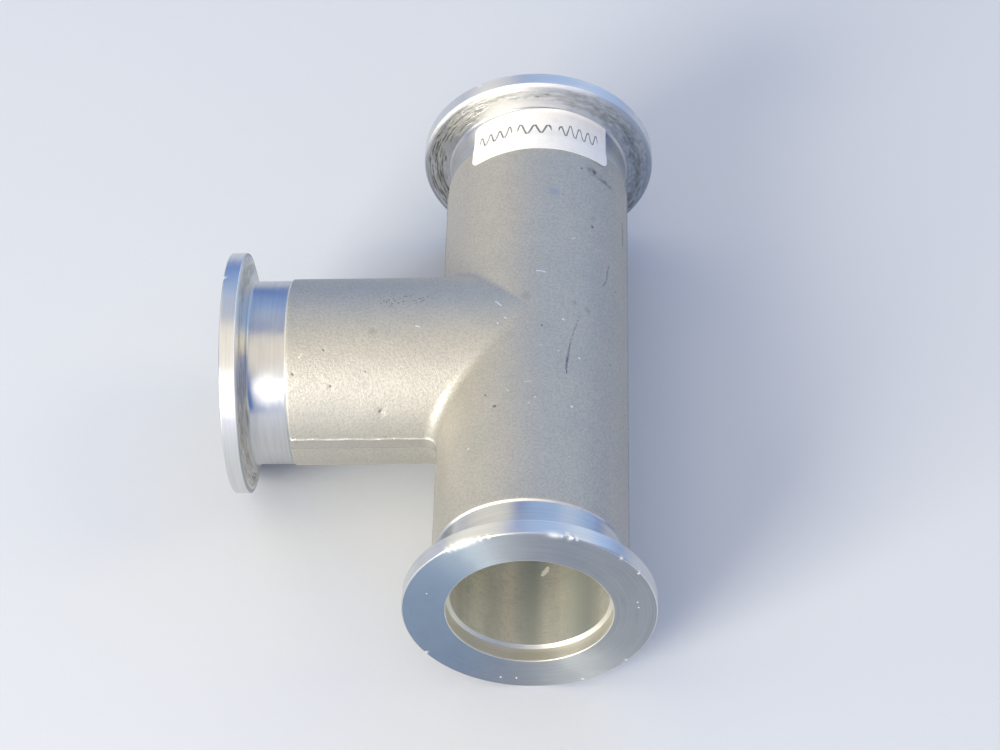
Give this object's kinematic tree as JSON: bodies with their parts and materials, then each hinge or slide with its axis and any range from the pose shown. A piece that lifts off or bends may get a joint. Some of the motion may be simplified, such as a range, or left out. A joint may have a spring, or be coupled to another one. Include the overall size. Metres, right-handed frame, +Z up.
{
  "type": "tee fitting",
  "caption": "Small-flange vacuum tee: cast tube body with equal open arms at right angles, each ended by a turned flange piece for a clamp and centring ring.",
  "frame": {"origin": "middle of the foot of the bounding box: on the plane that the tee rests on, on the branch's centre line, 15 mm from the run's centre line towards the branch", "axes": "+Y along the run towards the labelled arm, -X along the branch out of its port, +Z up, square to the plane of the three port axes"},
  "size_m": [0.07, 0.1, 0.04],
  "materials": {
    "cast_metal": "fine blasted casting, matte with a slight sparkle",
    "turned_metal": "turned, satin to bright, with fine tool rings and small nicks",
    "paper": "matte white label stock"
  },
  "bodies": {
    "root": {"tee_body": "cast_metal", "run_flange_front": "turned_metal", "run_flange_rear": "turned_metal", "branch_flange": "turned_metal", "label": "paper"}
  },
  "joints": []
}
